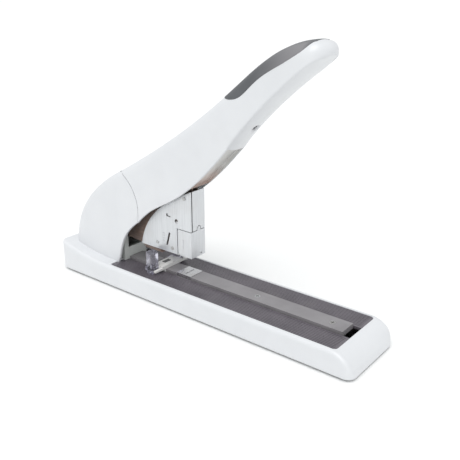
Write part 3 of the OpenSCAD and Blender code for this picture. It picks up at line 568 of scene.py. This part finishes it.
def gripSkin():
    # the chord through each point of the border is found, and the skin is followed from there to the top
    border = along(gripEdge, np.linspace(0, 1, grip["rows"]))
    table = np.linspace(0.3, 0.995, 1400)
    low, top = along(lowLine, table ** handle["slant"]), along(topLine, table)
    chord = top - low
    away = border[:, None, :] - low[None]
    off = np.abs(away[..., 0] * chord[None, :, 1] - away[..., 1] * chord[None, :, 0])
    best = (off / np.linalg.norm(chord, axis=1)).argmin(1)
    low, top, chord = low[best], top[best], chord[best]
    height, r, crown = roundings(low, chord, handle)
    up = np.clip(((border - low) * chord).sum(1) / height ** 2, 0, 1) * height
    straight = height - r - crown
    over = np.arcsin(np.clip((up - straight) / r, 0, 1)) / (np.pi / 2)
    sideEnd, roundEnd = section["sideEnd"], section["roundEnd"]
    start = np.where(up <= straight, sideEnd * up / straight, sideEnd + (roundEnd - sideEnd) * over)
    start = np.minimum(start, roundEnd - 0.01)[:, None]
    t = np.linspace(0, 1, 30)[None, :]
    across = start + (1 - start) * t ** 1.15
    x, y, z = skin(low, top, across, handle)
    # raised over the shell: outwards from the middle of the section, sunk at the border
    raised = grip["raised"] * smooth(t / 0.05) - grip["sunk"] * (t < 0.001)
    rise = smooth((across - sideEnd) / (roundEnd - sideEnd))
    lift = chord / height[:, None]
    x, z = x + lift[:, 0:1] * raised * rise, z + lift[:, 1:2] * raised * rise
    grid = bothSides(x, y + raised * (1 - rise), z)
    # the two ends dip into the shell
    grid[[0, -1], :, 2] -= grip["endDip"] / 1000
    return [grid]


surfaceMesh("gripSkin", gripSkin(), "handle", gripRubber, ["handle_grip"])
print("handle made")

# head details, on its near side
head = {"side": -11.0, "ticks": 4, "tickPitch": 2.9}
tickPad = {"place": (75.9, -21.2), "half": (1.7, 0.45), "rise": 0.35, "power": 4, "sunk": 0.02}
windowPad = {"place": (84.1, 0.85), "half": (2.4, 1.3), "rise": 0.25, "power": 8, "sunk": 0.9}
hookPad = {"place": (95.9, -4.6), "half": (1.7, 1.25), "rise": 0.7, "power": 3, "sunk": 0.3}


def sidePad(pad, down=0.0, count=15):
    # a low pad: rise (1 - |u|^power)(1 - |w|^power) over its rectangle, less what it is sunk by
    u, w = np.meshgrid(np.linspace(-1, 1, count), np.linspace(-1, 1, count), indexing="ij")
    height = pad["rise"] * (1 - np.abs(u) ** pad["power"]) * (1 - np.abs(w) ** pad["power"]) - pad["sunk"]
    (x, z), (halfX, halfZ) = pad["place"], pad["half"]
    return toWorld(x + halfX * u, head["side"] - height, z - down + halfZ * w)


levelTicks = [sidePad(tickPad, head["tickPitch"] * k) for k in range(head["ticks"])]
surfaceMesh("levelTicks", levelTicks, "head", headSteel)
surfaceMesh("windowPlate", [sidePad(windowPad)], "head", headSteel)
surfaceMesh("hookTab", [sidePad(hookPad)], "head", bladeSteel)
print("head details made")


def coverSkin():
    # from the front line to the back line; the last station lies on the seam's circle
    share = np.linspace(0, 1, cover["stations"])
    low, top = along(frontLine, share), along(backLine, share)
    bow = smooth(share) ** 2
    crease = np.full(len(share), cover["lowerEdge"])
    x, y, z = skin(low, top, acrossValues(len(share), 20), cover, bow, creased=crease, arcEnd=-1)
    inside = np.full((len(share), 1), cover["lipShare"])
    edges = lips(low, top, cover, crease, inside, bow=bow, arcEnd=-1)
    # the front edge turns in by the wall's thickness, towards the pivot and the middle
    lastX, lastY, lastZ = x[-1:], y[-1:], z[-1:]
    pulled = 1 - cover["wall"] / cover["seamRadius"]
    inner = bothSides(lastX * pulled, np.maximum(lastY - cover["wall"], 0), lastZ * pulled)
    return [bothSides(x, y, z), *edges, np.concatenate([bothSides(lastX, lastY, lastZ), inner], 0)]


drum = {
    "outer": 49.75, "inner": 47.6,
    "walls": [(46.5, 57.5, -22.6, 22.6), (22, 46.6, 10.3, 22.8), (22, 46.6, -22.8, -10.3)],  # degrees, then y
}


def coverDrum():
    # walls on a cylinder about the pivot: the whole width at the top, two side strips lower down
    grids = []
    for a0, a1, y0, y1 in drum["walls"]:
        angle, y = np.meshgrid(np.radians(np.linspace(a0, a1, 14)), np.linspace(y0, y1, 6), indexing="ij")
        outer, inner = (toWorld(radius * np.cos(angle), y, radius * np.sin(angle))
                        for radius in (drum["outer"], drum["inner"]))
        grids += [outer[:, ::-1], inner, np.stack([outer[0], inner[0]]), np.stack([inner[-1], outer[-1]])]
    return grids


surfaceMesh("coverSkin", coverSkin(), "base", whitePlastic, ["rear_cover"])
surfaceMesh("coverDrum", coverDrum(), "base", whitePlastic)
print("cover made")

# base
base = {
    "length": 390.0, "width": 83.0, "bottom": 2.5, "rim": 26.0, "corner": 8.0, "edge": 3.7,
    "tailRadius": 270.0, "tailStart": -115.0, "floor": 22.5, "recess": (-113.5, 176.0, 36.9, 4.0),
    "underRim": ((3.0, 2.0), (3.0, 0.0), (0.7, 0.0), (0.2, 0.2)),  # inset from the side, rise over the bottom
}


def roundedRing(x0, x1, half, r, long=70, short=24, turn=9):
    # a rounded rectangle, anticlockwise from the near left corner, and its outward normals
    left, right, side = x0 + r, x1 - r, half - r
    corners = [(right, -side, -90), (right, side, 0), (left, side, 90), (left, -side, 180)]
    points, normals = [], []
    previous = np.array([x0 + r, -half])
    for (cx, cy, a0), count in zip(corners, (long, short, long, short)):
        angle = np.radians(np.linspace(a0, a0 + 90, turn))
        out = np.stack([np.cos(angle), np.sin(angle)], 1)
        arc = np.array([cx, cy]) + r * out
        edge = previous + (arc[0] - previous) * np.linspace(0, 1, count)[:-1, None]
        points += [edge, arc[:-1]]
        normals += [np.tile(out[0], (count - 1, 1)), out[:-1]]
        previous = arc[-1]
    return np.concatenate(points + [points[0][:1]]), np.concatenate(normals + [normals[0][:1]])


def baseTop(x):
    # level rim, a circle rising behind the cover, a quarter circle down over the nose
    radius, noseRadius = base["tailRadius"], base["rim"] - base["bottom"]
    tail = radius - np.sqrt(radius ** 2 - np.minimum(x - base["tailStart"], 0) ** 2)
    nose = np.clip(x - (base["length"] / 2 - noseRadius), 0, noseRadius - 0.01)
    return base["bottom"] + np.sqrt(noseRadius ** 2 - nose ** 2) + tail


def edgeRadius(top):
    return np.minimum(base["edge"], 0.7 * (top - base["bottom"]))


def baseSkin():
    # each column runs from under the rim up the side, over the rounded edge and inwards to the recess
    ring, normal = roundedRing(-base["length"] / 2, base["length"] / 2, base["width"] / 2, base["corner"])
    inner, innerNormal = roundedRing(*base["recess"])
    columns = []
    full = np.ones(len(ring))
    top = baseTop(ring[:, 0])
    edge = edgeRadius(top)
    straight = top - edge - base["bottom"]

    def column(place, height):
        columns.append(np.stack([place[:, 0], place[:, 1], height], 1))

    def rimHeight(place, depth):
        # the rounded edge: e - sqrt(e^2 - (e - depth)^2) below the top, with e its radius
        local = baseTop(place[:, 0])
        e = edgeRadius(local)
        return local - e + np.sqrt(np.clip(e ** 2 - np.clip(e - depth, 0, None) ** 2, 0, None))

    for inset, rise in base["underRim"]:
        column(ring - normal * inset, full * (base["bottom"] + rise))
    for share in np.linspace(0, 1, 9):
        column(ring, base["bottom"] + 0.7 * np.minimum(1, straight / 2) * (1 - share) + straight * share)
    for angle in np.radians(np.linspace(0, 90, 9)[1:]):
        depth = edge * (1 - np.cos(angle))
        place = ring - normal * depth[:, None]
        column(place, rimHeight(place, depth))
    begin = ring - normal * edge[:, None]
    for share in np.linspace(0, 1, 34)[1:]:
        place = begin + (inner + innerNormal * 0.5 - begin) * share
        column(place, baseTop(place[:, 0]))
    # over the recess's small rounding, down its wall and a little way in under the deck
    column(inner + innerNormal * 0.15, baseTop(inner[:, 0]) - 0.15)
    column(inner, baseTop(inner[:, 0]) - 0.6)
    column(inner, full * base["floor"])
    column(inner - innerNormal * 1.2, full * base["floor"])
    return [np.stack(columns, 1) / 1000]


surfaceMesh("baseSkin", baseSkin(), "base", whitePlastic, ["base_shell"])
print("base made")

# stage
stage = {
    "floor": (0.90, 0.905, 0.90), "reach": 30.0, "skyColour": (0.975, 0.988, 1.0), "skyStrength": 0.78,
    "sunStrength": 1.65, "sunColour": (1.0, 0.995, 0.985), "sunSpread": 50, "sunFrom": (0.22, -0.5, 1.0),
}


def floorMaterial():
    # matt paper sweep with a barely visible cloudiness
    material, make, surface = newMaterial("paleFloor", {"Roughness": 0.7, "IOR": 1.3})
    texture = make.node("Group", {"Scale": 70.0, "Slow Scale": 3.0, "Fine Share": 0.3}, node_tree=grain)
    light, cloud = (*stage["floor"], 1), (*(0.985 * value for value in stage["floor"]), 1)
    make.put(surface, "Base Color", make.blend(texture.outputs["Mask"], light, cloud))
    return material


def levelFloor(count=9):
    # a level square, far larger than the view
    x, y = np.meshgrid(*[np.linspace(-stage["reach"], stage["reach"], count)] * 2, indexing="ij")
    mesh = bpy.data.meshes.new("floor")
    mesh.from_pydata(np.stack([x, y, 0 * x], -1).reshape(-1, 3), [], gridQuads(count, count).tolist())
    mesh.materials.append(floorMaterial())
    return bpy.data.objects.new("floor", mesh)


floor = levelFloor()
bpy.context.scene.collection.objects.link(floor)

world = bpy.data.worlds.new("studio")
world.use_nodes = True
sky = Maker(world.node_tree)
lit = world.node_tree.nodes["Background"]
sky.put(lit, "Color", (*stage["skyColour"], 1))
sky.put(lit, "Strength", stage["skyStrength"])
# the camera sees the sky as pale as the lit floor, so that no horizon shows
seen = sky.node("Background", {"Color": (1, 1, 1, 1), "Strength": 1.0})
direct = sky.node("LightPath").outputs["Is Camera Ray"]
both = sky.node("MixShader", {0: direct, 1: lit.outputs[0], 2: seen.outputs[0]})
sky.put(world.node_tree.nodes["World Output"], "Surface", both.outputs[0])
bpy.context.scene.world = world

sunData = bpy.data.lights.new("softSun", "SUN")
sunData.energy = stage["sunStrength"]
sunData.angle = math.radians(stage["sunSpread"])
sunData.color = stage["sunColour"]
sun = bpy.data.objects.new("softSun", sunData)
sun.rotation_euler = Vector(stage["sunFrom"]).to_track_quat("Z", "Y").to_euler()
bpy.context.scene.collection.objects.link(sun)

camera = {
    "place": (0.4052, -0.4719, 0.3244), "pitch": 21.2, "heading": 38.5,
    "sensor": 36.0, "focal": 50.478261, "near": 0.01, "far": 30.0,
}
lens = bpy.data.cameras.new("view")
lens.sensor_width = camera["sensor"]
lens.lens = camera["focal"]
lens.clip_start, lens.clip_end = camera["near"], camera["far"]
eye = bpy.data.objects.new("view", lens)
eye.location = camera["place"]
eye.rotation_euler = (math.radians(90 - camera["pitch"]), 0, math.radians(camera["heading"]))
bpy.context.scene.collection.objects.link(eye)
bpy.context.scene.camera = eye
bpy.context.scene.view_settings.view_transform = "Standard"
print("stage set")
